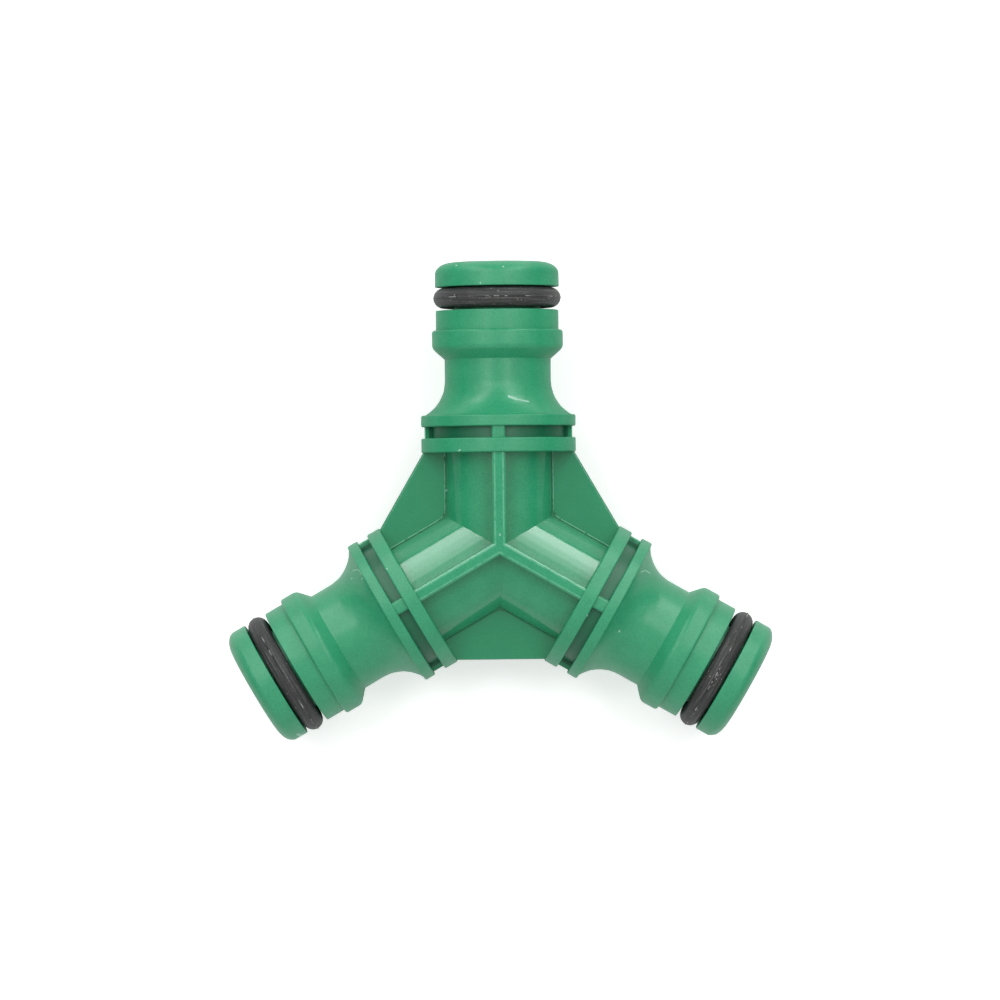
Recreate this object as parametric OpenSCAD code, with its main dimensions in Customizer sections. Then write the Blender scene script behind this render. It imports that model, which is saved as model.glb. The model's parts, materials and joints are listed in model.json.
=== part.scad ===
// Three-way hose connector: a one-piece moulded Y body with three quick-connect spigots,
// each with a rubber sealing ring in its groove.
// The three arm axes meet at the origin and lie in the XY plane. The top arm points along +Y,
// the other two lie 120 degrees to each side of it, and +Z is up, out of the plane of the Y.
// Along an arm, "reach" is the distance from the origin.

/* [Tubes] */
// Outside diameter of the tubes that meet in the middle
tube_d = 13.72; // [13:0.02:14.6]
// Diameter of the water passage through each arm
bore_d = 9.4; // [8:0.1:10]
// How far the round hollow where the passages meet is set back from their walls
hollow_step = 0.3; // [0.2:0.05:0.8]

/* [Flanges] */
// Reach of the inner flange's near face
flange_reach = 12.2; // [11.4:0.1:16]
// Outside diameter of both flanges
flange_d = 19.9; // [19.4:0.05:21]
// Thickness of the inner flange
inner_flange_t = 1.85; // [1.4:0.05:3]
// Gap between the two flanges
flange_gap = 1.5; // [1:0.1:3]
// Thickness of the outer flange
outer_flange_t = 1.45; // [1:0.05:3]
// Diameter of the core between the two flanges
gap_core_d = 17.15; // [15:0.05:18.4]
// Rounding of the flange rims
rim_round = 0.2; // [0.05:0.05:0.4]

/* [Ribs] */
// Width of the Y-shaped rib and of the bridges between the flanges
rib_w = 1.8; // [1.2:0.1:3]
// Depth of the rib's top below the flange rims
rib_below_rim = 0.42; // [0.2:0.02:1]
// Rounding along the rib's top edges
rib_round = 0.38; // [0.1:0.02:0.5]

/* [Web] */
// Depth of the web's outer edge below the flange rim, where the two meet
web_below_rim = 0.17; // [0.1:0.01:1]
// Thickness of the web beside the tubes
web_t = 1.6; // [1:0.1:1.7]
// Thickness of the web's raised fields
field_t = 1.9; // [1.8:0.1:3]
// Distance from a tube's side to the edge of a raised field
field_gap = 0.05; // [0.02:0.01:0.5]
// Radius of a raised field's corner, where two tubes meet
field_corner_r = 1.6; // [0.4:0.1:2.4]
// Rounding along the web's outer edges
web_round = 0.25; // [0.1:0.05:0.5]

/* [Neck] */
// Diameter of the neck that the latch of a hose fitting grips
neck_d = 13.65; // [12.8:0.05:14.4]
// Length of the neck, from the outer flange to the foot of the latch ramp
neck_len = 7.25; // [6:0.05:12]
// Radius of the flare between the outer flange and the neck
flare_r = 5.1; // [4:0.1:5.2]
// Width of the flat ring left on the outer flange around the flare
flare_ledge = 0.45; // [0.3:0.05:0.9]

/* [Latch collar] */
// Diameter of the latch collar
collar_d = 16.85; // [16.6:0.05:17.4]
// Slope of the latch ramp, measured from the arm's axis
ramp_deg = 48; // [30:1:70]
// Rounding between the ramp and the collar
ramp_round = 1; // [0.3:0.1:1.4]
// Length of the collar after the ramp
collar_len = 2.3; // [1.8:0.05:5]
// Rounding of the collar's edge on the side of the nose
collar_round = 0.35; // [0.1:0.05:0.4]

/* [Sealing ring] */
// Thickness of the rubber ring
ring_t = 2.6; // [2.2:0.05:2.8]
// How far the rubber ring stands proud of the nose
ring_proud = 0.25; // [0.1:0.05:0.6]
// Clearance between the rubber ring and the groove's floor
ring_seat_gap = 0.05; // [0.02:0.01:0.1]
// Free width in the groove on the ring's collar side
ring_land_gap = 0.31; // [0.1:0.01:1]
// Free width in the groove on the ring's nose side
ring_nose_gap = 0.12; // [0.05:0.01:1]

/* [Nose] */
// Diameter of the land between the latch collar and the ring groove
land_d = 15.8; // [15.2:0.05:16.1]
// Length of the land
land_len = 2.55; // [1:0.05:6]
// Diameter of the nose
nose_d = 15.95; // [15.6:0.05:16.2]
// Length of the nose, from the ring groove to the tip
nose_len = 3.2; // [2.6:0.05:8]
// Length of the rounding at the tip
tip_round_len = 1.5; // [1:0.05:2.4]
// Width of the flat lip around the mouth of the water passage
lip_w = 0.95; // [0.1:0.05:2]
// Rounding of the edges on both sides of the ring groove
groove_round = 0.12; // [0.04:0.02:0.2]

/* [Hidden] */
$fn = 72;
body_green = [0.23, 0.63, 0.45];
ring_black = [0.13, 0.14, 0.14];

// Directions of the arms, counted from +X
top_deg = 90;
left_deg = 210;
right_deg = 330;
arm_degs = [top_deg, left_deg, right_deg];

// Each web sector lies halfway between two arms
half_sector = 180 / len(arm_degs);
sector_degs = [for (deg = arm_degs) deg + half_sector];

// Steps in a small rounding and in a large one
small_steps = 4;
large_steps = 12;
// Cutting shapes run this far past the faces that they cut
past = 1;

tube_r = tube_d / 2;
bore_r = bore_d / 2;
flange_r = flange_d / 2;
gap_core_r = gap_core_d / 2;
neck_r = neck_d / 2;
collar_r = collar_d / 2;
land_r = land_d / 2;
nose_r = nose_d / 2;
rib_top = flange_r - rib_below_rim;

// The flare is an arc that runs into the neck and ends at the flat ring on the flange
flare_top_r = flange_r - flare_ledge;
flare_sweep = acos((flare_r - (flare_top_r - neck_r)) / flare_r);
ramp_run = (collar_r - neck_r) / tan(ramp_deg);

// The groove is as wide as the ring and its free width on both sides
groove_w = ring_land_gap + ring_t + ring_nose_gap;
ring_mid_r = nose_r + ring_proud - ring_t / 2;
groove_floor_r = ring_mid_r - ring_t / 2 - ring_seat_gap;

// Reaches along an arm, from the middle to the tip
inner_flange_end = flange_reach + inner_flange_t;
outer_flange_reach = inner_flange_end + flange_gap;
outer_flange_end = outer_flange_reach + outer_flange_t;
ramp_reach = outer_flange_end + neck_len;
collar_reach = ramp_reach + ramp_run;
collar_end = collar_reach + collar_len;
groove_reach = collar_end + land_len;
groove_end = groove_reach + groove_w;
tip_reach = groove_end + nose_len;
ring_reach = groove_end - ring_nose_gap - ring_t / 2;

// Reaches in the middle of each flange, where the ribs, bridges and web end inside it
inner_flange_mid = flange_reach + inner_flange_t / 2;
outer_flange_mid = outer_flange_reach + outer_flange_t / 2;

// Between two arms the web ends in a straight line from flange to flange
web_reach = flange_reach * cos(half_sector) + (flange_r - web_below_rim) * sin(half_sector);
root_edge = web_reach - web_round;

// Points on a round or elliptic arc about [x, y]
function arc(x, y, rx, ry, from, to, steps) =
    [for (i = [0:steps])
        let (a = from + (to - from) * i / steps)
        [x + rx * cos(a), y + ry * sin(a)]];

// Points of a corner rounding about [x, y]
function rounding(x, y, r, from, to) = arc(x, y, r, r, from, to, small_steps);

// Outline of a flange between two reaches, with both edges of its rim rounded
function flange_rim(near, far) =
    concat(
        rounding(flange_r - rim_round, near + rim_round, rim_round, -90, 0),
        rounding(flange_r - rim_round, far - rim_round, rim_round, 0, 90)
    );

// Outline of one arm, as [radius, reach] pairs from the middle to the tip
arm_outline = concat(
    [[0, 0], [tube_r, 0], [tube_r, flange_reach]],
    flange_rim(flange_reach, inner_flange_end),
    [[gap_core_r, inner_flange_end], [gap_core_r, outer_flange_reach]],
    flange_rim(outer_flange_reach, outer_flange_end),
    arc(neck_r + flare_r, outer_flange_end + flare_r * sin(flare_sweep), flare_r, flare_r,
        180 + flare_sweep, 180, large_steps),
    [[neck_r, ramp_reach]],
    rounding(collar_r - ramp_round, collar_reach + ramp_round * tan(ramp_deg / 2), ramp_round, -ramp_deg, 0),
    rounding(collar_r - collar_round, collar_end - collar_round, collar_round, 0, 90),
    [[land_r, collar_end]],
    rounding(land_r - groove_round, groove_reach - groove_round, groove_round, 0, 90),
    [[groove_floor_r, groove_reach], [groove_floor_r, groove_end]],
    rounding(nose_r - groove_round, groove_end + groove_round, groove_round, -90, 0),
    arc(bore_r + lip_w, tip_reach - tip_round_len, nose_r - bore_r - lip_w, tip_round_len, 0, 90, large_steps),
    [[0, tip_reach]]
);

// Point in a sector that points along +X: its reach along the arm on the given side of the sector,
// and its distance from that arm's axis towards the sector's middle
function sector_point(reach, off_axis, side) =
    [reach * cos(half_sector) + off_axis * sin(half_sector),
        side * (reach * sin(half_sector) - off_axis * cos(half_sector))];

// Half the width of a sector, at the given distance from the middle, between the flanges that end it
function sector_half_w(x) = (inner_flange_mid - x * cos(half_sector)) / sin(half_sector);

// A raised field's edges run beside the two tubes, to a rounded corner where the tubes meet
field_off_axis = tube_r + field_gap;
field_corner = concat(
    [sector_point(inner_flange_mid, field_off_axis, 1)],
    rounding((field_off_axis + field_corner_r) / sin(half_sector), 0, field_corner_r,
        90 + half_sector, 270 - half_sector),
    [sector_point(inner_flange_mid, field_off_axis, -1)]
);

// The web beside the tubes runs on into them, to the middle of the part
root_corner = [sector_point(inner_flange_mid, 0, 1), [0, 0], sector_point(inner_flange_mid, 0, -1)];

// Outline of the web in a sector, from its outer edge at the given distance to the given corner
function sector_outline(edge, corner) =
    concat([[edge, -sector_half_w(edge)], [edge, sector_half_w(edge)]], corner);

// Turns what is drawn along +Z into the given arm's direction
module along_arm(deg) {
    rotate([0, 0, deg - top_deg])
        rotate([-90, 0, 0])
            children();
}

// The turned form of one arm
module arm(deg) {
    along_arm(deg)
        rotate_extrude()
            polygon(arm_outline);
}

// Bar along an arm that shows as the rib on both faces, and crosses the gap between the flanges
module rib_bar(deg) {
    half_w = rib_w / 2;
    side = half_w - rib_round;
    top = rib_top - rib_round;
    along_arm(deg)
        linear_extrude(height = outer_flange_mid)
            polygon(concat(
                rounding(side, top, rib_round, 0, 90),
                rounding(-side, top, rib_round, 90, 180),
                rounding(-side, -top, rib_round, 180, 270),
                rounding(side, -top, rib_round, 270, 360)
            ));
}

// Bar in the plane of the Y that bridges the gap between the flanges on both sides of an arm
module side_bridges(deg) {
    along_arm(deg)
        translate([-rib_top, -rib_w / 2, inner_flange_mid])
            cube([2 * rib_top, rib_w, outer_flange_mid - inner_flange_mid]);
}

// Web between two arms, drawn with its straight outer edge square to +X
module web_sector() {
    linear_extrude(height = web_t, center = true)
        polygon(sector_outline(root_edge, root_corner));
    intersection() {
        linear_extrude(height = field_t + 2 * past, center = true)
            polygon(sector_outline(web_reach + past, field_corner));
        rounded_plate();
    }
}

// Endless plate with a rounded edge square to +X, as thick as the raised fields
module rounded_plate() {
    edge = web_reach - web_round;
    top = field_t / 2 - web_round;
    rotate([90, 0, 0])
        linear_extrude(height = 2 * web_reach, center = true)
            polygon(concat(
                [[0, -field_t / 2]],
                rounding(edge, -top, web_round, -90, 0),
                rounding(edge, top, web_round, 0, 90),
                [[0, field_t / 2]]
            ));
}

// Water passages from the three mouths to the round hollow where they meet
module passages() {
    for (deg = arm_degs)
        along_arm(deg)
            cylinder(r = bore_r, h = tip_reach + past);
    sphere(r = bore_r + hollow_step);
}

// Moulded body
module connector_body() {
    color(body_green)
        difference() {
            union() {
                for (deg = arm_degs) {
                    arm(deg);
                    rib_bar(deg);
                    side_bridges(deg);
                }
                for (deg = sector_degs)
                    rotate([0, 0, deg])
                        web_sector();
            }
            passages();
        }
}

// Rubber ring in the groove of the given arm
module o_ring(deg) {
    color(ring_black)
        along_arm(deg)
            translate([0, 0, ring_reach])
                rotate_extrude()
                    translate([ring_mid_r, 0])
                        circle(d = ring_t);
}

connector_body();
o_ring(top_deg);  // o_ring_top
o_ring(left_deg);  // o_ring_left
o_ring(right_deg);  // o_ring_right
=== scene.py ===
import json
import math

import bmesh
import bpy
from mathutils import Matrix, Vector

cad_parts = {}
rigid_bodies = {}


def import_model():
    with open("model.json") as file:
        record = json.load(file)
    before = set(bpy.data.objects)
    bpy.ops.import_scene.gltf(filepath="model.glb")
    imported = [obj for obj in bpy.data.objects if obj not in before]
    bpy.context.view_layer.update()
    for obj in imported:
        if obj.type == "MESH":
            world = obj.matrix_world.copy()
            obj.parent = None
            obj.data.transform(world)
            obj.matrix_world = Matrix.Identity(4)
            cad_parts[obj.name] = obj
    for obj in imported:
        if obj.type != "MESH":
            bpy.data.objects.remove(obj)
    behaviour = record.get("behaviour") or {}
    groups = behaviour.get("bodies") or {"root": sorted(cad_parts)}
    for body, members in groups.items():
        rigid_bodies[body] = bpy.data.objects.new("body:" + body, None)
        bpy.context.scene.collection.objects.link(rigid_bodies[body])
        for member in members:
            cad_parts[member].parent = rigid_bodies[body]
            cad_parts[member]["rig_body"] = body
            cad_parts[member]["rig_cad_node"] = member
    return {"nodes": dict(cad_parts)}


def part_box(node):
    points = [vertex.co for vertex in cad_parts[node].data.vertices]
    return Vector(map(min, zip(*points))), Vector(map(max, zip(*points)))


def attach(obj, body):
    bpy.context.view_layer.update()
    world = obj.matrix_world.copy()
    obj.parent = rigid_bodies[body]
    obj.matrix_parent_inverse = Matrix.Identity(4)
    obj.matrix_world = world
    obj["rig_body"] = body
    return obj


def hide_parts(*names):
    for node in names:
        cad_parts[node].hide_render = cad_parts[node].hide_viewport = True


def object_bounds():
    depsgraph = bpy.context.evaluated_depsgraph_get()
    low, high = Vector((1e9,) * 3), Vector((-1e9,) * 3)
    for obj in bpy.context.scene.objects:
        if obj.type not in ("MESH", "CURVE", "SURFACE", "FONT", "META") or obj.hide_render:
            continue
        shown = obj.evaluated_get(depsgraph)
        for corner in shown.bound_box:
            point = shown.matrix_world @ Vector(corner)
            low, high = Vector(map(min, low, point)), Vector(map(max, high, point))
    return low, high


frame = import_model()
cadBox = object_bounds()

mm = 0.001
armAngles = [math.radians(degrees) for degrees in (90, 210, 330)]   # directions of the three arms
tipReach = cadBox[1].y                                              # from the middle to the tip of an arm
print("frame loaded:", ", ".join(sorted(frame["nodes"])))


# Camera: straight above the part, at the distance of a product photographer's stand

camera = {
    "distance": 750 * mm,                   # above the plane of the Y
    "aim": (0.11 * mm, 6.03 * mm),          # point of that plane in the middle of the picture
    "turn": math.radians(-0.63),            # the part lies slightly turned in the picture
    "seenWidth": 129.3 * mm,                # width of that plane across the picture
    "sensorWidth": 36.0,
}


def addCamera(values):
    data = bpy.data.cameras.new("overheadCamera")
    data.sensor_width = values["sensorWidth"]
    data.lens = values["sensorWidth"] * values["distance"] / values["seenWidth"]
    data.clip_start = 0.05
    data.clip_end = 20
    holder = bpy.data.objects.new("overheadCamera", data)
    holder.location = (*values["aim"], values["distance"])
    holder.rotation_euler = (0, 0, values["turn"])
    bpy.context.scene.collection.objects.link(holder)
    bpy.context.scene.camera = holder


addCamera(camera)
print("camera placed")


# Small helpers for node trees

def addNode(tree, kind, place, **settings):
    node = tree.nodes.new(kind)
    node.location = place
    for key, value in settings.items():
        setattr(node, key, value)
    return node


def emptyTree(owner):
    owner.use_nodes = True
    owner.node_tree.nodes.clear()
    return owner.node_tree


def feed(tree, socket, source):             # source is another node's output, or a plain value
    if isinstance(source, bpy.types.NodeSocket):
        tree.links.new(source, socket)
    else:
        socket.default_value = source


def addMath(tree, operation, place, *sources, **settings):
    node = addNode(tree, "ShaderNodeMath", place, operation=operation, **settings)
    for socket, source in zip(node.inputs, sources):
        feed(tree, socket, source)
    return node.outputs[0]


def addRamp(tree, place, source, low, high, outLow=0.0, outHigh=1.0):
    node = addNode(tree, "ShaderNodeMapRange", place, interpolation_type="SMOOTHSTEP")
    for label, value in (("Value", source), ("From Min", low), ("From Max", high),
                         ("To Min", outLow), ("To Max", outHigh)):
        feed(tree, node.inputs[label], value)
    return node.outputs["Result"]


def addNoise(tree, place, vector, scale, detail=2.0):
    node = addNode(tree, "ShaderNodeTexNoise", place)
    feed(tree, node.inputs["Vector"], vector)
    feed(tree, node.inputs["Scale"], scale)
    node.inputs["Detail"].default_value = detail
    return node.outputs["Fac"]


def mixColours(tree, place, factor, first, second):
    node = addNode(tree, "ShaderNodeMix", place, data_type="RGBA")
    for index, source in ((0, factor), (6, first), (7, second)):
        feed(tree, node.inputs[index], source)
    return node.outputs[2]


# Floor, room and lamps

floor = {
    "size": 8.0,
    "colour": (0.9, 0.9, 0.9, 1),
    "lift": 0.45,                           # added for the camera alone, so that the open floor is white
}


def addFloor(values):
    bpy.ops.mesh.primitive_plane_add(size=values["size"], location=(0, 0, cadBox[0].z))
    plane = bpy.context.object
    plane.name = "floor"
    material = bpy.data.materials.new("floorWhite")
    tree = emptyTree(material)
    surface = addNode(tree, "ShaderNodeBsdfDiffuse", (-200, 0))
    surface.inputs["Color"].default_value = values["colour"]
    path = addNode(tree, "ShaderNodeLightPath", (-600, -200))
    strength = addMath(tree, "MULTIPLY", (-400, -200), path.outputs["Is Camera Ray"], values["lift"])
    glow = addNode(tree, "ShaderNodeEmission", (-200, -200))
    both = addNode(tree, "ShaderNodeAddShader", (0, 0))
    output = addNode(tree, "ShaderNodeOutputMaterial", (200, 0))
    tree.links.new(strength, glow.inputs["Strength"])
    tree.links.new(surface.outputs[0], both.inputs[0])
    tree.links.new(glow.outputs[0], both.inputs[1])
    tree.links.new(both.outputs[0], output.inputs["Surface"])
    plane.data.materials.append(material)


room = {
    "front": 1.0,                           # light from the side of the room below the picture
    "back": 0.15,                           # from the side above it
    "sidesLow": 0.03,                       # from its left and right, at the horizon
    "sidesHigh": 0.92,                      # and high up
    "sidesRise": (0.05, 0.85),              # sines of the heights between which they grow from low to high
    "ceiling": 0.75,                        # straight above the part
    "ceilingRise": (0.96, 0.99),            # sines of the heights between which it takes over
    "frontTowards": math.radians(268),      # counted from the right of the picture over its top
    "frontSpread": (0.5, 0.85),             # cosines of the angles to it, between which the front takes over
    "backSpread": (-0.2, -0.6),             # and the same for the back
    "seen": 1.0,                            # what the camera sees of the room
}


def addRoom(values):
    world = bpy.data.worlds.new("whiteRoom")
    bpy.context.scene.world = world
    tree = emptyTree(world)
    place = addNode(tree, "ShaderNodeTexCoord", (-2000, 300)).outputs["Generated"]
    towards = addNode(tree, "ShaderNodeVectorMath", (-1800, 300), operation="DOT_PRODUCT")
    towards.inputs[1].default_value = (math.cos(values["frontTowards"]), math.sin(values["frontTowards"]), 0)
    tree.links.new(place, towards.inputs[0])
    split = addNode(tree, "ShaderNodeSeparateXYZ", (-1800, 0))
    tree.links.new(place, split.inputs[0])
    sides = addRamp(tree, (-1500, 0), split.outputs["Z"], *values["sidesRise"],
                    values["sidesLow"], values["sidesHigh"])
    front = addRamp(tree, (-1300, 200), towards.outputs["Value"], *values["frontSpread"],
                    sides, values["front"])
    around = addRamp(tree, (-1100, 200), towards.outputs["Value"], *values["backSpread"],
                     front, values["back"])
    fill = addRamp(tree, (-900, 200), split.outputs["Z"], *values["ceilingRise"], around, values["ceiling"])
    path = addNode(tree, "ShaderNodeLightPath", (-800, 0))
    strength = addNode(tree, "ShaderNodeMapRange", (-400, 0))
    strength.inputs["To Max"].default_value = values["seen"]
    glow = addNode(tree, "ShaderNodeBackground", (-200, 0))
    output = addNode(tree, "ShaderNodeOutputWorld", (0, 0))
    tree.links.new(fill, strength.inputs["To Min"])
    tree.links.new(path.outputs["Is Camera Ray"], strength.inputs["Value"])
    tree.links.new(strength.outputs["Result"], glow.inputs["Strength"])
    tree.links.new(glow.outputs[0], output.inputs["Surface"])


# Soft lamps, as the part sees them, in degrees: "round" counts from the right of the picture over its top,
# "low" and "high" are heights over the horizon. "away" is in metres

lampWatts = 4.0                             # of a lamp of one square metre with "bright" 1

softboxes = {
    "leftStrip": {"round": 120, "low": 6, "high": 30, "wide": 8.5, "away": 0.7, "bright": 5.8},
    "rightStrip": {"round": 60, "low": 6, "high": 30, "wide": 8.5, "away": 0.7, "bright": 7.0},
    "leftStripMiddle": {"round": 120, "low": 30, "high": 45, "wide": 8.5, "away": 0.7, "bright": 4.8},
    "rightStripMiddle": {"round": 60, "low": 30, "high": 45, "wide": 8.5, "away": 0.7, "bright": 5.1},
    "leftStripUpper": {"round": 120, "low": 45, "high": 58, "wide": 8.5, "away": 0.7, "bright": 3.7},
    "rightStripUpper": {"round": 60, "low": 45, "high": 58, "wide": 8.5, "away": 0.7, "bright": 3.2},
    "leftStripTop": {"round": 120, "low": 58, "high": 76, "wide": 8.5, "away": 0.7, "bright": 1.4},
    "rightStripTop": {"round": 60, "low": 58, "high": 76, "wide": 8.5, "away": 0.7, "bright": 1.5},
    "leftWing": {"round": 142, "low": 30, "high": 56, "wide": 16, "away": 0.9, "bright": 1.3},
    "rightWing": {"round": 38, "low": 30, "high": 56, "wide": 16, "away": 0.9, "bright": 1.3},
    "leftHigh": {"round": 150, "low": 59, "high": 71, "wide": 14, "away": 0.9, "bright": 4.8},
    "rightHigh": {"round": 30, "low": 59, "high": 71, "wide": 14, "away": 0.9, "bright": 4.8},
}


def addSoftboxes(boxes):
    for name, values in boxes.items():
        around = math.radians(values["round"])
        height = math.radians((values["low"] + values["high"]) / 2)
        place = values["away"] * Vector((math.cos(around) * math.cos(height),
                                         math.sin(around) * math.cos(height), math.sin(height)))
        data = bpy.data.lights.new(name, "AREA")
        data.shape = "RECTANGLE"
        data.size = 2 * values["away"] * math.tan(math.radians(values["wide"] / 2))
        data.size_y = 2 * values["away"] * math.tan(math.radians((values["high"] - values["low"]) / 2))
        data.energy = lampWatts * data.size * data.size_y * values["bright"]
        holder = bpy.data.objects.new(name, data)
        holder.location = place
        holder.rotation_euler = (-place).to_track_quat("-Z", "Y").to_euler()
        holder.visible_camera = False
        bpy.context.scene.collection.objects.link(holder)


addFloor(floor)
addRoom(room)
addSoftboxes(softboxes)
bpy.context.scene.view_settings.view_transform = "Standard"
print("floor, room and lamps placed")


# Effects that the materials share: each is a group that is built once and placed with its own values

def newGroup(name, inputs, outputs):
    tree = bpy.data.node_groups.new(name, "ShaderNodeTree")
    for label, kind in inputs:
        tree.interface.new_socket(label, in_out="INPUT", socket_type=kind)
    for label, kind in outputs:
        tree.interface.new_socket(label, in_out="OUTPUT", socket_type=kind)
    start = addNode(tree, "NodeGroupInput", (-1200, 0))
    end = addNode(tree, "NodeGroupOutput", (600, 0))
    return tree, start, end


def useGroup(tree, group, place, **values):
    node = addNode(tree, "ShaderNodeGroup", place, node_tree=group)
    for label, value in values.items():
        feed(tree, node.inputs[label], value)
    return node


numberSocket = "NodeSocketFloat"
vectorSocket = "NodeSocketVector"


# Where a point lies on its arm, whichever arm it is: how far along it, how far to the side in the plane
# of the Y, and how far from the arm's axis
def armReachGroup():
    tree, start, end = newGroup("armReach", (), [
        (label, numberSocket) for label in ("Reach", "Side", "Radius")])
    place = addNode(tree, "ShaderNodeTexCoord", (-1000, 0))
    alongEach = []
    for row, angle in enumerate(armAngles):
        along = addNode(tree, "ShaderNodeVectorMath", (-700, -200 * row), operation="DOT_PRODUCT")
        along.inputs[1].default_value = (math.cos(angle), math.sin(angle), 0)
        tree.links.new(place.outputs["Object"], along.inputs[0])
        alongEach.append(along.outputs["Value"])
    farther = addMath(tree, "MAXIMUM", (-400, 0), alongEach[0], alongEach[1])
    farthest = addMath(tree, "MAXIMUM", (-200, 0), farther, alongEach[2])
    tree.links.new(farthest, end.inputs["Reach"])
    split = addNode(tree, "ShaderNodeSeparateXYZ", (-700, -700))
    tree.links.new(place.outputs["Object"], split.inputs[0])
    squares = [addMath(tree, "MULTIPLY", (-400, -500 - 200 * row), split.outputs[label], split.outputs[label])
               for row, label in enumerate("XYZ")]
    flat = addMath(tree, "SUBTRACT", (0, -500), addMath(tree, "ADD", (-200, -500), squares[0], squares[1]),
                   addMath(tree, "MULTIPLY", (-200, -300), farthest, farthest))
    flat = addMath(tree, "MAXIMUM", (200, -500), flat, 0.0)
    tree.links.new(addMath(tree, "SQRT", (400, -400), flat), end.inputs["Side"])
    around = addMath(tree, "ADD", (200, -700), flat, squares[2])
    tree.links.new(addMath(tree, "SQRT", (400, -700), around), end.inputs["Radius"])
    return tree


# Uneven tone and a fine skin, both from noise: sizes are those of one blotch and one grain
def grainGroup():
    tree, start, end = newGroup("grain", (("Blotch", numberSocket), ("Grain", numberSocket)),
                                (("Tone", numberSocket), ("Height", numberSocket)))
    place = addNode(tree, "ShaderNodeTexCoord", (-1200, 300)).outputs["Object"]
    perBlotch = addMath(tree, "DIVIDE", (-1000, 0), 1.0, start.outputs["Blotch"])
    perGrain = addMath(tree, "DIVIDE", (-1000, -200), 1.0, start.outputs["Grain"])
    blotches = addNoise(tree, (-700, 100), place, perBlotch, 3)
    grains = addNoise(tree, (-700, -200), place, perGrain, 2)
    blotchShare = 0.35
    tone = addMath(tree, "MULTIPLY_ADD", (-400, 0), blotches, blotchShare, addMath(
        tree, "MULTIPLY", (-500, -150), grains, 1 - blotchShare))
    lowest, highest = 0.32, 0.68            # nearly all of the noise lies between these
    tree.links.new(addRamp(tree, (-200, 0), tone, lowest, highest), end.inputs["Tone"])
    tree.links.new(grains, end.inputs["Height"])
    return tree


# Loose specks of dust: one speck in some of the cells of a grid of uneven cells
def dustGroup():
    tree, start, end = newGroup("dust", [(label, numberSocket) for label in ("Spacing", "Speck", "Share")],
                                (("Mask", numberSocket),))
    place = addNode(tree, "ShaderNodeTexCoord", (-1200, 300)).outputs["Object"]
    cells = addNode(tree, "ShaderNodeTexVoronoi", (-800, 0))
    tree.links.new(place, cells.inputs["Vector"])
    feed(tree, cells.inputs["Scale"], addMath(tree, "DIVIDE", (-1000, 0), 1.0, start.outputs["Spacing"]))
    away = addMath(tree, "MULTIPLY", (-600, 0), cells.outputs["Distance"], start.outputs["Spacing"])
    spot = addRamp(tree, (-400, 0), away, start.outputs["Speck"],
                   addMath(tree, "MULTIPLY", (-600, -200), start.outputs["Speck"], 0.5))
    split = addNode(tree, "ShaderNodeSeparateColor", (-600, -400))
    tree.links.new(cells.outputs["Color"], split.inputs[0])
    chosen = addMath(tree, "LESS_THAN", (-400, -400), split.outputs[0], start.outputs["Share"])
    tree.links.new(addMath(tree, "MULTIPLY", (-200, 0), spot, chosen), end.inputs["Mask"])
    return tree


# Pale streak between two points of the upper face, seen from above: a scuff, the painted glint on the top
# arm's flare, or a fleck where the two points are one
def markGroup():
    tree, start, end = newGroup("mark", (
        ("From", vectorSocket), ("To", vectorSocket), ("Width", numberSocket)), (("Mask", numberSocket),))
    place = addNode(tree, "ShaderNodeTexCoord", (-1600, 300)).outputs["Object"]
    split = addNode(tree, "ShaderNodeSeparateXYZ", (-1400, -300))
    tree.links.new(place, split.inputs[0])
    flat = addNode(tree, "ShaderNodeVectorMath", (-1400, 300), operation="MULTIPLY")
    flat.inputs[1].default_value = (1, 1, 0)
    tree.links.new(place, flat.inputs[0])

    def combine(operation, spot, *sources):
        node = addNode(tree, "ShaderNodeVectorMath", spot, operation=operation)
        for socket, source in zip(node.inputs, sources):
            feed(tree, socket, source)
        return node.outputs["Value" if operation in ("DOT_PRODUCT", "LENGTH") else "Vector"]

    offset = combine("SUBTRACT", (-1100, 300), flat.outputs[0], start.outputs["From"])
    line = combine("SUBTRACT", (-1100, 0), start.outputs["To"], start.outputs["From"])
    along = combine("DOT_PRODUCT", (-900, 200), offset, line)
    whole = addMath(tree, "ADD", (-700, 0), combine("DOT_PRODUCT", (-900, 0), line, line), 1e-12)
    share = addMath(tree, "DIVIDE", (-500, 200), along, whole, use_clamp=True)
    scaled = addNode(tree, "ShaderNodeVectorMath", (-300, 100), operation="SCALE")
    tree.links.new(line, scaled.inputs[0])
    tree.links.new(share, scaled.inputs["Scale"])
    away = combine("LENGTH", (0, 200), combine("SUBTRACT", (-100, 200), offset, scaled.outputs[0]))
    spot = addRamp(tree, (150, 200), away, start.outputs["Width"],
                   addMath(tree, "MULTIPLY", (0, -100), start.outputs["Width"], 0.4))
    above = addMath(tree, "GREATER_THAN", (150, -300), split.outputs["Z"], 0.0)
    tree.links.new(addMath(tree, "MULTIPLY", (400, 0), spot, above), end.inputs["Mask"])
    return tree


armReach = armReachGroup()
grain = grainGroup()
dust = dustGroup()
mark = markGroup()
print("shared effects built")


def addSurface(tree, base, rough, specular, height, depth):
    bump = addNode(tree, "ShaderNodeBump", (-500, -300))
    surface = addNode(tree, "ShaderNodeBsdfPrincipled", (-200, 0))
    output = addNode(tree, "ShaderNodeOutputMaterial", (200, 0))
    for node, label, source in (
            (bump, "Strength", 1.0), (bump, "Distance", depth), (bump, "Height", height),
            (surface, "Base Color", base), (surface, "Roughness", rough),
            (surface, "Specular IOR Level", specular), (surface, "Normal", bump.outputs[0]),
            (output, "Surface", surface.outputs[0])):
        feed(tree, node.inputs[label], source)


# Glossy green plastic of the moulded body

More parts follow.
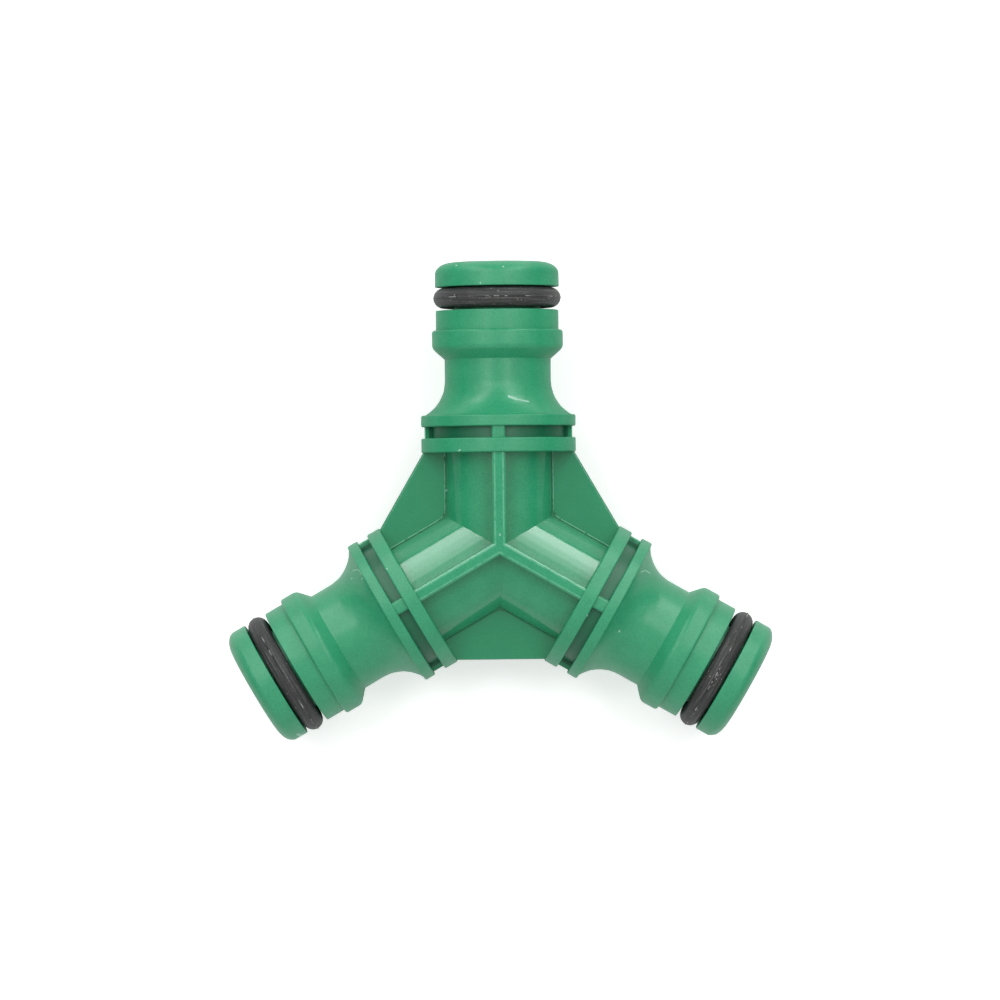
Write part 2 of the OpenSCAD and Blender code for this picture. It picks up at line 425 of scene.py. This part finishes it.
greenPlastic = {
    "darkTone": (0.022, 0.280, 0.132, 1),
    "lightTone": (0.040, 0.342, 0.168, 1),
    "blotch": 2.4 * mm,
    "grain": 0.2 * mm,
    "skinDepth": 0.004 * mm,
    "roughness": 0.37,
    "pocketRoughness": 0.11,                # between the arms' flanges the mould was polished brighter
    "pocketReach": 12.2 * mm,
    "pocketBlend": 0.1 * mm,                # to each side of that reach
    "toneRoughness": 0.03,                  # added where the tone is lightest
    "shine": 0.5,
    "flankShine": 0.12,                     # the flanks of the top arm shine less than the rest
    "flankFrom": 0.47,                      # share of an arm's radius, counted from its axis
    "flankTo": 0.72,
    "gapFrom": 14.0 * mm,                   # painted shade: the gap between an arm's flanges is darkened in the colour
    "gapTo": 15.7 * mm,
    "gapRadius": 9.0 * mm,
    "gapShadeTone": (0.010, 0.165, 0.078, 1),
    "fieldHeight": 1.1 * mm,                # painted shade: the web and its raised fields are darkened a little in the colour too
    "fieldShadeTone": (0.022, 0.235, 0.110, 1),
    "fieldShadeShare": 0.6,
    "neckRoughness": 0.31,
    "neckFrom": 17.8 * mm,
    "neckTo": 24.8 * mm,
    "neckBlend": 0.5 * mm,
    "wornAndGlintTone": (0.22, 0.60, 0.40, 1),      # painted highlight along the two upper raised fields' edges, wear on the parting line, and pale lines along the ribs
    "wornAndGlintPatch": 0.9 * mm,                  # size of the patches that they come in
    "wornShare": (0.30, 0.50),              # noise below the first is clean, above the second pale
    "ribLine": 0.55 * mm,                   # from the middle of a rib to the pale line along its top edge
    "ribLineWidth": 0.14 * mm,
    "ribLineHeight": 8.0 * mm,
    "ribLineShare": 0.34,
    "markAndGlintTone": (0.30, 0.58, 0.44, 1),      # scuffs and flecks, and a painted glint on the top arm's flare
    "markRoughness": 0.25,
    "dustTone": (0.40, 0.55, 0.47, 1),
    "dustSpacing": 1.3 * mm,
    "dustSpeck": 0.045 * mm,
    "dustShare": 0.25,
}

# Scuffs and flecks that the upper face shows, and one painted glint on the top arm's flare: from, to and
# width, in millimetres
marks = (
    ((-18.9, -2.8), (-18.1, -2.7), 0.08),
    ((-18.1, -2.7), (-17.7, -3.3), 0.08),
    ((-17.7, -3.9), (-17.6, -3.8), 0.10),
    ((-19.1, -3.9), (-19.0, -3.8), 0.08),
    ((-14.5, -2.6), (-14.4, -2.6), 0.12),
    ((18.1, -3.4), (18.7, -3.2), 0.08),
    ((18.7, -3.2), (19.3, -3.6), 0.08),
    ((15.2, -11.0), (15.2, -10.9), 0.14),
    ((11.1, -8.8), (11.1, -8.9), 0.12),
    ((-5.1, 12.4), (-4.9, 12.5), 0.12),
    ((-6.8, 7.4), (-6.8, 7.3), 0.14),
    ((-3.0, 1.6), (-2.8, 1.4), 0.10),
    ((0.05, 1.7), (0.05, 1.5), 0.10),
    ((-5.2, 36.2), (-5.1, 36.2), 0.12),
    ((-2.1, 33.9), (-2.1, 33.8), 0.12),
    ((0.8, 35.9), (0.9, 35.9), 0.12),
    # painted highlight: a glint on the top arm's flare, drawn as a pale streak
    ((1.4, 19.3), (2.3, 18.95), 0.22),
    ((2.3, 18.95), (3.9, 18.6), 0.12),
    ((-26.3, -23.9), (-25.8, -24.1), 0.20),
)


def makeGreenPlastic(values):
    material = bpy.data.materials.new("greenPlastic")
    tree = emptyTree(material)
    skin = useGroup(tree, grain, (-1600, 300), Blotch=values["blotch"], Grain=values["grain"])
    base = mixColours(tree, (-1300, 300), skin.outputs["Tone"], values["darkTone"], values["lightTone"])

    worn = addNode(tree, "ShaderNodeAttribute", (-1600, 0), attribute_name="worn")
    place = addNode(tree, "ShaderNodeTexCoord", (-1900, -100)).outputs["Object"]
    patchy = addRamp(tree, (-1400, -100), addNoise(
        tree, (-1600, -200), place, 1 / values["wornAndGlintPatch"], 4), *values["wornShare"])
    arm = useGroup(tree, armReach, (-1900, -900))
    reach = arm.outputs["Reach"]
    split = addNode(tree, "ShaderNodeSeparateXYZ", (-1900, -1300))
    tree.links.new(place, split.inputs[0])
    height = addMath(tree, "ABSOLUTE", (-1700, -1300), split.outputs["Z"])
    fromLine = addMath(tree, "ABSOLUTE", (-1500, -1500), addMath(
        tree, "SUBTRACT", (-1700, -1500), arm.outputs["Side"], values["ribLine"]))
    line = addRamp(tree, (-1300, -1500), fromLine, values["ribLineWidth"], 0.5 * values["ribLineWidth"])
    line = addMath(tree, "MULTIPLY", (-1100, -1500), line, addMath(
        tree, "GREATER_THAN", (-1300, -1300), height, values["ribLineHeight"]))
    line = addMath(tree, "MULTIPLY", (-900, -1500), line, addMath(
        tree, "LESS_THAN", (-1100, -1300), reach, values["pocketReach"]))
    wearAndGlint = addMath(tree, "MAXIMUM", (-1300, 0), worn.outputs["Fac"], addMath(
        tree, "MULTIPLY", (-700, -1500), line, values["ribLineShare"]))
    wearAndGlint = addMath(tree, "MULTIPLY", (-1200, 0), wearAndGlint, patchy)

    # painted shade: darker colour in the gap between an arm's flanges, near the core
    inGap = addMath(tree, "MULTIPLY", (-1500, -1900),
                    addMath(tree, "GREATER_THAN", (-1700, -1800), reach, values["gapFrom"]),
                    addMath(tree, "LESS_THAN", (-1700, -2000), reach, values["gapTo"]))
    deep = addMath(tree, "LESS_THAN", (-1500, -2100), arm.outputs["Radius"], values["gapRadius"])
    base = mixColours(tree, (-1150, 300), addMath(tree, "MULTIPLY", (-1300, -1900), inGap, deep), base,
                      values["gapShadeTone"])
    # painted shade: the low web and raised fields inside the pockets are darkened a little
    onField = addMath(tree, "MULTIPLY", (-1500, -2500),
                      addMath(tree, "LESS_THAN", (-1700, -2400), height, values["fieldHeight"]),
                      addMath(tree, "LESS_THAN", (-1700, -2600), reach, values["pocketReach"]))
    base = mixColours(tree, (-1100, 500), addMath(
        tree, "MULTIPLY", (-1300, -2500), onField, values["fieldShadeShare"]), base, values["fieldShadeTone"])
    # painted highlight along the upper raised fields' edges, with real wear on the parting line and pale
    # lines along the ribs, mixed in as one pale tone
    base = mixColours(tree, (-1000, 300), wearAndGlint, base, values["wornAndGlintTone"])

    marked = 0.0
    for row, (first, last, width) in enumerate(marks):
        each = useGroup(tree, mark, (-1600, -500 - 180 * row), Width=width * mm,
                        From=(first[0] * mm, first[1] * mm, 0), To=(last[0] * mm, last[1] * mm, 0))
        marked = addMath(tree, "MAXIMUM", (-1300, -500 - 180 * row), each.outputs["Mask"], marked)
    # scuffs and flecks, and the painted glint on the top arm's flare
    base = mixColours(tree, (-800, 300), marked, base, values["markAndGlintTone"])

    specks = useGroup(tree, dust, (-1000, -300), Spacing=values["dustSpacing"], Speck=values["dustSpeck"],
                      Share=values["dustShare"])
    base = mixColours(tree, (-600, 300), specks.outputs["Mask"], base, values["dustTone"])

    edge, blend = values["pocketReach"], values["pocketBlend"]
    rough = addRamp(tree, (-700, -900), reach, edge - blend, edge + blend,
                    values["pocketRoughness"], values["roughness"])
    fromTop = addMath(tree, "SUBTRACT", (-1100, -900), reach, split.outputs["Y"])   # 0 on the top arm
    sideShare = addMath(tree, "DIVIDE", (-900, -2000), arm.outputs["Side"], arm.outputs["Radius"])
    flank = addMath(tree, "MULTIPLY", (-500, -1900),
                    addMath(tree, "LESS_THAN", (-700, -1800), fromTop, 0.01 * mm),
                    addRamp(tree, (-700, -2000), sideShare, values["flankFrom"], values["flankTo"]))
    flank = addMath(tree, "MULTIPLY", (-300, -1900), flank, addMath(
        tree, "SUBTRACT", (-500, -2100), 1.0, onField))
    shine = addRamp(tree, (-100, -1900), flank, 0.0, 1.0, values["shine"], values["flankShine"])
    first, last, blend = values["neckFrom"], values["neckTo"], values["neckBlend"]
    neck = addMath(tree, "MULTIPLY", (-700, -1100),
                   addRamp(tree, (-900, -1100), reach, first - blend, first + blend),
                   addRamp(tree, (-900, -1300), reach, last + blend, last - blend))
    rough = addMath(tree, "MULTIPLY_ADD", (-600, -800), neck,
                    values["neckRoughness"] - values["roughness"], rough)
    rough = addMath(tree, "MULTIPLY_ADD", (-500, -700), skin.outputs["Tone"],
                    values["toneRoughness"], rough)
    marksWearAndGlints = addMath(tree, "MAXIMUM", (-700, -500), marked, wearAndGlint)
    rough = addMath(tree, "MULTIPLY_ADD", (-350, -500), marksWearAndGlints, values["markRoughness"], rough)

    addSurface(tree, base, rough, shine, skin.outputs["Height"], values["skinDepth"])
    return material


# Black rubber of the sealing rings, with pale powder drawn out along the ring

blackRubber = {
    "tone": (0.034, 0.036, 0.036, 1),
    "powderTone": (0.19, 0.18, 0.175, 1),
    "seamTone": (0.46, 0.45, 0.44, 1),
    "speckTone": (0.36, 0.34, 0.33, 1),     # fine pale grit
    "speckSpacing": 0.5 * mm,
    "speck": 0.10 * mm,
    "speckShare": 0.5,
    "streakLength": 5.0,                    # mm along the ring
    "streakWidth": 0.16,                    # mm across it
    "streakShare": (0.45, 0.80),            # noise below the first is bare rubber, above the second powder
    "streakRelief": 0.8,
    "powderRoughness": 0.2,
    "middleRadius": 6.9,                    # mm, of the ring
    "girth": 8.17,                          # mm, once round the rubber
    "seamWidth": 0.08 * mm,                 # to each side of the seam
    "tornPatch": 0.8 * mm,                  # the seam is torn pale in some places only
    "tornShare": (0.50, 0.58),
    "dullPatch": 2.5 * mm,                  # larger patches that hold the grit and the torn places
    "dullShare": (0.42, 0.62),
    "roughness": 0.48,
    "specular": 0.35,
    "grain": 0.22 * mm,
    "blotch": 1.2 * mm,
    "skinDepth": 0.03 * mm,
}


def makeBlackRubber(values):
    material = bpy.data.materials.new("blackRubber")
    tree = emptyTree(material)
    split = addNode(tree, "ShaderNodeSeparateXYZ", (-2000, 0))
    tree.links.new(addNode(tree, "ShaderNodeTexCoord", (-2200, 0)).outputs["UV"], split.inputs[0])
    turn = addMath(tree, "MULTIPLY", (-1800, 100), split.outputs["X"], 2 * math.pi)
    stretch = values["middleRadius"] / values["streakLength"]
    ringPlace = addNode(tree, "ShaderNodeCombineXYZ", (-1400, 100))
    for index, operation in enumerate(("COSINE", "SINE")):
        tree.links.new(addMath(tree, "MULTIPLY", (-1600, 200 - 200 * index), addMath(
            tree, operation, (-1700, 200 - 200 * index), turn), stretch), ringPlace.inputs[index])
    tree.links.new(addMath(tree, "MULTIPLY", (-1600, -200), split.outputs["Y"],
                           values["girth"] / values["streakWidth"]), ringPlace.inputs[2])
    streaks = addRamp(tree, (-1000, 100), addNoise(tree, (-1200, 100), ringPlace.outputs[0], 1.0, 3),
                      *values["streakShare"])

    skin = useGroup(tree, grain, (-1400, 500), Blotch=values["blotch"], Grain=values["grain"])
    powder = addMath(tree, "MULTIPLY", (-800, 200), streaks, addMath(
        tree, "MULTIPLY_ADD", (-1000, 400), skin.outputs["Tone"], 0.8, 0.2))
    base = mixColours(tree, (-600, 200), powder, values["tone"], values["powderTone"])

    low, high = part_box("o_ring_top")
    arm = useGroup(tree, armReach, (-1800, -400))
    fromSeam = addMath(tree, "ABSOLUTE", (-1400, -400), addMath(
        tree, "SUBTRACT", (-1600, -400), arm.outputs["Reach"], (low.y + high.y) / 2))
    seam = addRamp(tree, (-1200, -400), fromSeam, values["seamWidth"], 0.4 * values["seamWidth"])
    place = addNode(tree, "ShaderNodeTexCoord", (-1600, -700)).outputs["Object"]
    torn = addRamp(tree, (-1200, -700), addNoise(
        tree, (-1400, -700), place, 1 / values["tornPatch"], 3), *values["tornShare"])
    grit = useGroup(tree, dust, (-1200, -900), Spacing=values["speckSpacing"], Speck=values["speck"],
                    Share=values["speckShare"])
    patches = addRamp(tree, (-1200, -1100), addNoise(
        tree, (-1400, -1100), place, 1 / values["dullPatch"], 2), *values["dullShare"])
    base = mixColours(tree, (-500, 300), addMath(
        tree, "MULTIPLY", (-900, -900), grit.outputs["Mask"], patches), base, values["speckTone"])
    torn = addMath(tree, "MULTIPLY", (-1000, -700), torn, patches)
    base = mixColours(tree, (-400, 200), addMath(tree, "MULTIPLY", (-900, -500), seam, torn), base,
                      values["seamTone"])

    rough = addMath(tree, "MULTIPLY_ADD", (-500, -100), powder,
                    values["powderRoughness"], values["roughness"])
    height = addMath(tree, "MULTIPLY_ADD", (-700, -300), streaks, values["streakRelief"],
                     skin.outputs["Height"])
    addSurface(tree, base, rough, values["specular"], height, values["skinDepth"])
    return material


green = makeGreenPlastic(greenPlastic)
black = makeBlackRubber(blackRubber)
print("materials built")


# Moulded body: the frame's own solid, welded and shaded smooth, with the fine marks of its mould

body = {
    "weld": 0.002 * mm,
    "smoothUpTo": math.radians(32),         # sharper edges stay crisp
    "creaseWithin": 12.0 * mm,              # the tubes' own meeting lines are crisp too, this far out
    "creaseSlack": 0.004 * mm,
    "fieldRound": 0.13 * mm,                # on the two upper raised fields; the lower one stays sharp
    "fieldHeight": 1.5 * mm,
    "fieldReach": 17.0 * mm,
    "edgeRound": 0.09 * mm,                 # on all other sharp edges outside the passages
    "roundSteps": 3,
    "mouthDepth": 0.05 * mm,                # edges this near to the tip are a mouth's, and rounded too
    "sharpFrom": math.radians(70),          # edges at least this sharp are rounded
    "partingHeight": 0.035 * mm,            # fine line where the two mould halves meet, in the plane of the Y
    "partingWidth": 0.16 * mm,
    "partingUneven": 0.012 * mm,
    "partingWear": 0.35,
    "innermost": 6.0 * mm,                  # the line isn't raised nearer to an arm's axis than this
}


def choose(piece):
    for each in bpy.context.view_layer.objects:
        each.select_set(False)
    piece.select_set(True)
    bpy.context.view_layer.objects.active = piece


def reachAndSide(place):                    # along the nearest arm, and square to it in the plane of the Y
    return max((place.x * math.cos(a) + place.y * math.sin(a), place.y * math.cos(a) - place.x * math.sin(a))
               for a in armAngles)


def startSelection(kind):
    bpy.ops.mesh.select_mode(type=kind)
    bpy.ops.mesh.select_all(action="DESELECT")
    return bmesh.from_edit_mesh(bpy.context.object.data)


def roundSharpEdges(piece, values):
    mesh = bmesh.from_edit_mesh(piece.data)
    mesh.faces.layers.float.new("worn")
    for onField, width in ((True, values["fieldRound"]), (False, values["edgeRound"])):
        mesh = startSelection("EDGE")
        for edge in mesh.edges:
            middle = (edge.verts[0].co + edge.verts[1].co) / 2
            reach, side = reachAndSide(middle)
            if math.hypot(side, middle.z) < values["innermost"] and reach < tipReach - values["mouthDepth"]:
                continue                    # inside a passage
            low = abs(middle.z) < values["fieldHeight"] and reach < values["fieldReach"]
            lowerField = middle.y < -abs(middle.x) * math.tan(math.radians(30))     # below both lower arms
            if low != onField or (low and lowerField):
                continue
            if edge.is_convex and edge.calc_face_angle(0) > values["sharpFrom"]:
                edge.select_set(True)
        bmesh.update_edit_mesh(piece.data)
        bpy.ops.mesh.bevel(offset=width, segments=values["roundSteps"], profile=0.5)
        mesh = bmesh.from_edit_mesh(piece.data)
        worn = mesh.faces.layers.float["worn"]
        # the rounded edges of the two upper raised fields carry a painted highlight; the lower field's edges
        # stay sharp and get none
        for face in mesh.faces:
            if face.select and onField:
                face[worn] = 1
        bmesh.update_edit_mesh(piece.data)


def keepTubesApart(values):
    mesh = startSelection("EDGE")
    for edge in mesh.edges:
        ends = [vertex.co for vertex in edge.verts]
        for angle in armAngles:
            opposite = Vector((-math.cos(angle), -math.sin(angle), 0))
            aside = Vector((-opposite.y, opposite.x, 0))
            if all(abs(end.dot(aside)) < values["creaseSlack"] and abs(end.z) > values["fieldHeight"]
                   and 0 < end.dot(opposite) < values["creaseWithin"] for end in ends):
                edge.select_set(True)
    bmesh.update_edit_mesh(bpy.context.object.data)
    bpy.ops.mesh.mark_sharp()


def raisePartingLine(piece, values):
    inPlane = 1e-7                          # metres off the plane of the Y that still count as in it
    for height in (-values["partingWidth"] / 2, 0, values["partingWidth"] / 2):
        bpy.ops.mesh.select_all(action="SELECT")
        bpy.ops.mesh.bisect(plane_co=(0, 0, height), plane_no=(0, 0, 1), threshold=inPlane)
    mesh = startSelection("VERT")
    worn = mesh.faces.layers.float["worn"]
    low, high = cadBox
    for vertex in mesh.verts:
        side = reachAndSide(vertex.co)[1]
        moved = vertex.co + vertex.normal * (values["partingHeight"] + values["partingUneven"])
        inside = low.x < moved.x < high.x and low.y < moved.y < high.y
        if abs(vertex.co.z) < inPlane and abs(side) > values["innermost"] and inside:
            vertex.select_set(True)
            for face in vertex.link_faces:
                face[worn] = values["partingWear"]
    bmesh.update_edit_mesh(piece.data)
    bpy.ops.transform.shrink_fatten(value=values["partingHeight"])
    bpy.ops.transform.vertex_random(offset=values["partingUneven"], uniform=0, normal=1, seed=4)


def makeBody(values):
    piece = frame["nodes"]["connector_body"].copy()
    piece.data = piece.data.copy()
    piece.name = "moulded_body"
    for key in ("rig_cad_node", "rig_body"):  # the copy is a piece of the scene, not a node of the frame
        del piece[key]
    bpy.context.scene.collection.objects.link(piece)
    choose(piece)
    bpy.ops.object.mode_set(mode="EDIT")
    bpy.ops.mesh.select_all(action="SELECT")
    bpy.ops.mesh.remove_doubles(threshold=values["weld"])
    keepTubesApart(values)
    roundSharpEdges(piece, values)
    raisePartingLine(piece, values)
    bpy.ops.object.mode_set(mode="OBJECT")
    bpy.ops.mesh.customdata_custom_splitnormals_clear()
    bpy.ops.object.shade_smooth_by_angle(angle=values["smoothUpTo"], keep_sharp_edges=True)
    even = piece.modifiers.new("evenNormals", "WEIGHTED_NORMAL")
    even.keep_sharp = True
    bpy.ops.object.modifier_apply(modifier=even.name)
    piece.data.materials.clear()
    piece.data.materials.append(green)
    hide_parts("connector_body")
    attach(piece, "root")


makeBody(body)
print("body done")


# Sealing rings: moulded rubber, with the torn seam of their own mould round the outside

ring = {
    "stepsAround": 240,
    "stepsAcross": 32,
    "smoothUpTo": math.radians(50),
    "seamWidth": 0.12 * mm,
    "seamHeight": 0.10 * mm,
    "seamUneven": 0.05 * mm,
}


def makeRing(name, angle, seed, values):
    low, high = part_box("o_ring_top")
    outer = high.z
    thickness = high.y - low.y
    reach = (low.y + high.y) / 2
    bpy.ops.mesh.primitive_torus_add(
        major_segments=values["stepsAround"], minor_segments=values["stepsAcross"],
        major_radius=outer - thickness / 2, minor_radius=thickness / 2, generate_uvs=True)
    piece = bpy.context.object
    piece.name = name.replace("o_ring", "sealing_ring")
    choose(piece)
    bpy.ops.object.mode_set(mode="EDIT")
    mesh = startSelection("EDGE")           # the outermost loop of edges splits into the seam's two sides
    for edge in mesh.edges:
        edge.select_set(all(math.hypot(v.co.x, v.co.y) > outer - 0.01 * mm for v in edge.verts))
    bmesh.update_edit_mesh(piece.data)
    bpy.ops.mesh.bevel(offset=values["seamWidth"] / 2, segments=2)
    mesh = startSelection("VERT")
    for vertex in mesh.verts:
        onSeam = math.hypot(vertex.co.x, vertex.co.y) > outer - 0.05 * mm and abs(vertex.co.z) < 0.01 * mm
        vertex.select_set(onSeam)
    bmesh.update_edit_mesh(piece.data)
    bpy.ops.transform.shrink_fatten(value=values["seamHeight"])
    bpy.ops.transform.vertex_random(offset=values["seamUneven"], uniform=0, normal=1, seed=seed)
    bpy.ops.object.mode_set(mode="OBJECT")
    bpy.ops.object.shade_smooth_by_angle(angle=values["smoothUpTo"])
    direction = Vector((math.cos(angle), math.sin(angle), 0))
    upwards = Vector((0, 0, 1))
    turn = Matrix((direction.cross(upwards), upwards, -direction)).transposed()
    piece.data.transform(Matrix.Translation(direction * reach) @ turn.to_4x4())
    piece.data.materials.append(black)
    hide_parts(name)
    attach(piece, "root")


for seed, (name, angle) in enumerate(zip(("o_ring_top", "o_ring_left", "o_ring_right"), armAngles)):
    makeRing(name, angle, seed, ring)
print("sealing rings done")
